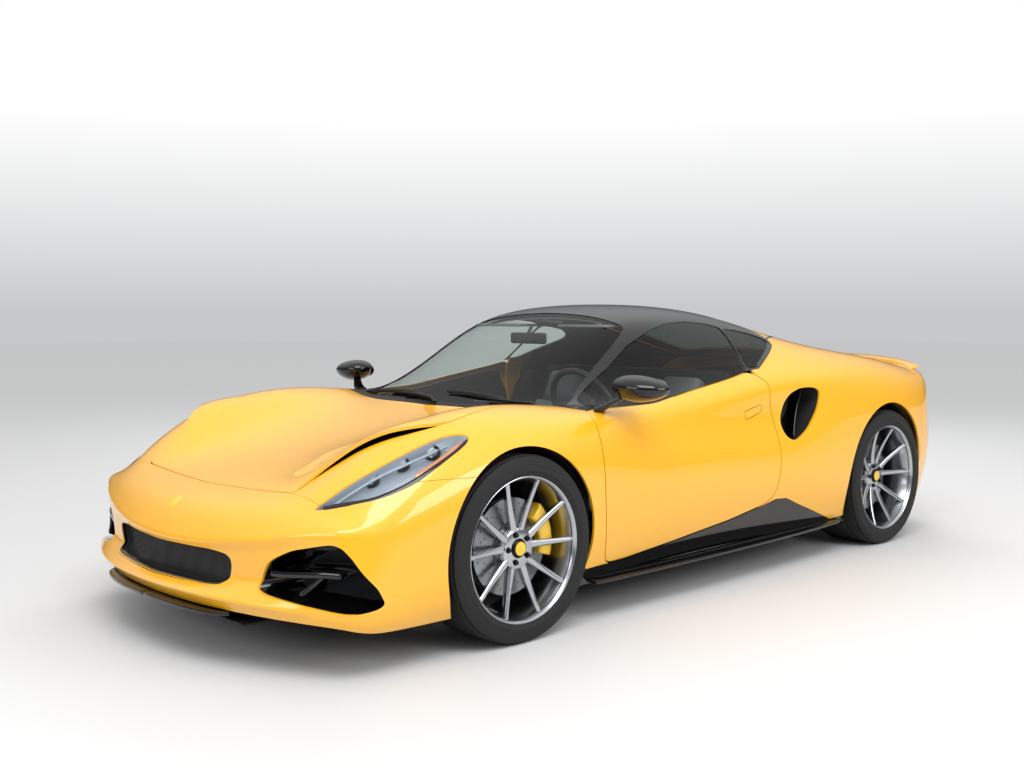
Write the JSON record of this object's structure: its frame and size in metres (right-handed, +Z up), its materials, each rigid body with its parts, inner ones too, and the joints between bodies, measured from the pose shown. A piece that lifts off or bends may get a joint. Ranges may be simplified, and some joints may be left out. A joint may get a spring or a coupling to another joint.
{
  "type": "two-seat mid-engine coupe car",
  "caption": "Low two-seat sports coupe with opening doors, front lid and rear lid, steered front wheels and wheels that turn on their hubs.",
  "frame": {"origin": "on the ground, under the middle of the car's length and width", "axes": "+X to the car's left, +Y to its tail, +Z up; the nose faces -Y"},
  "size_m": [2.092, 4.3976, 1.2163],
  "materials": {
    "yellow_paint": "solid gloss yellow with clear coat",
    "black_paint": "gloss black",
    "black_plastic": "grained black",
    "black_composite": "satin dark composite",
    "window_glass": "tinted laminated glass",
    "lamp_glass": "clear lamp cover",
    "red_lens": "red lens",
    "silver_alloy": "silver lacquered alloy",
    "cast_alloy": "as cast",
    "brake_iron": "turned, vented",
    "yellow_caliper": "yellow enamel",
    "tyre": "black rubber",
    "seat_leather": "dark grained leather"
  },
  "bodies": {
    "shell": {"tub": "black_composite", "front_bumper": "yellow_paint", "fender_left": "yellow_paint", "fender_right": "yellow_paint", "headlamps": "lamp_glass", "cowl": "black_plastic", "windshield": "window_glass", "roof": "black_paint", "quarter_glass": "window_glass", "quarter_left": "yellow_paint", "quarter_right": "yellow_paint", "side_skirts": "black_paint", "rear_bumper": "yellow_paint", "tail_lamps": "red_lens", "diffuser": "black_plastic", "suspension_arms": "cast_alloy", "rear_uprights": "cast_alloy", "rear_calipers": "yellow_caliper", "seat_left": "seat_leather", "seat_right": "seat_leather", "dashboard": "black_plastic", "engine": "cast_alloy"},
    "bonnet": {"bonnet": "yellow_paint"},
    "tailgate": {"tailgate": "yellow_paint", "rear_glass": "window_glass"},
    "steering_wheel": {"steering_wheel": "seat_leather"},
    "door_left": {"door_left": "yellow_paint", "door_glass_left": "window_glass", "mirror_left": "black_paint"},
    "knuckle_left": {"knuckle_left": "cast_alloy", "caliper_front_left": "yellow_caliper"},
    "door_right": {"door_right": "yellow_paint", "door_glass_right": "window_glass", "mirror_right": "black_paint"},
    "knuckle_right": {"knuckle_right": "cast_alloy", "caliper_front_right": "yellow_caliper"},
    "wheel_front_left": {"rim_front_left": "silver_alloy", "tyre_front_left": "tyre", "disc_front_left": "brake_iron"},
    "wheel_front_right": {"rim_front_right": "silver_alloy", "tyre_front_right": "tyre", "disc_front_right": "brake_iron"},
    "wheel_rear_left": {"rim_rear_left": "silver_alloy", "tyre_rear_left": "tyre", "disc_rear_left": "brake_iron"},
    "wheel_rear_right": {"rim_rear_right": "silver_alloy", "tyre_rear_right": "tyre", "disc_rear_right": "brake_iron"}
  },
  "joints": [
    {"name": "steer_left", "type": "hinge", "parent": "shell", "child": "knuckle_left", "pos_m": [0.7585, -1.1955, 0.34], "axis": [0, 0, 1], "range_deg": [-33, 33]},
    {"name": "steer_right", "type": "hinge", "parent": "shell", "child": "knuckle_right", "pos_m": [-0.7585, -1.1955, 0.34], "axis": [0, 0, 1], "range_deg": [-33, 33]},
    {"name": "spin_front_left", "type": "hinge", "parent": "knuckle_left", "child": "wheel_front_left", "pos_m": [0.8, -1.1955, 0.34], "axis": [1, 0, 0], "continuous": true},
    {"name": "spin_front_right", "type": "hinge", "parent": "knuckle_right", "child": "wheel_front_right", "pos_m": [-0.8, -1.1955, 0.34], "axis": [1, 0, 0], "continuous": true},
    {"name": "spin_rear_left", "type": "hinge", "parent": "shell", "child": "wheel_rear_left", "pos_m": [0.8, 1.3795, 0.343], "axis": [1, 0, 0], "continuous": true},
    {"name": "spin_rear_right", "type": "hinge", "parent": "shell", "child": "wheel_rear_right", "pos_m": [-0.8, 1.3795, 0.343], "axis": [1, 0, 0], "continuous": true},
    {"name": "steering_column", "type": "hinge", "parent": "shell", "child": "steering_wheel", "pos_m": [0.385, -0.32, 0.77], "axis": [0, 0.9135, 0.4067], "range_deg": [-430, 430]},
    {"name": "door_left_hinge", "type": "hinge", "parent": "shell", "child": "door_left", "pos_m": [0.911, -0.789, 0.5], "axis": [0, 0, -1], "range_deg": [0, 62]},
    {"name": "door_right_hinge", "type": "hinge", "parent": "shell", "child": "door_right", "pos_m": [-0.911, -0.789, 0.5], "axis": [0, 0, 1], "range_deg": [0, 62]},
    {"name": "bonnet_hinge", "type": "hinge", "parent": "shell", "child": "bonnet", "pos_m": [0, -0.824, 0.812], "axis": [-1, 0, 0], "range_deg": [0, 50]},
    {"name": "tailgate_hinge", "type": "hinge", "parent": "shell", "child": "tailgate", "pos_m": [0, 0.5, 1.186], "axis": [1, 0, 0], "range_deg": [0, 50]}
  ],
  "couplings": [
    {"joint": "steer_right", "follows": "steer_left", "ratio": 1},
    {"joint": "steering_column", "follows": "steer_left", "ratio": 13}
  ]
}
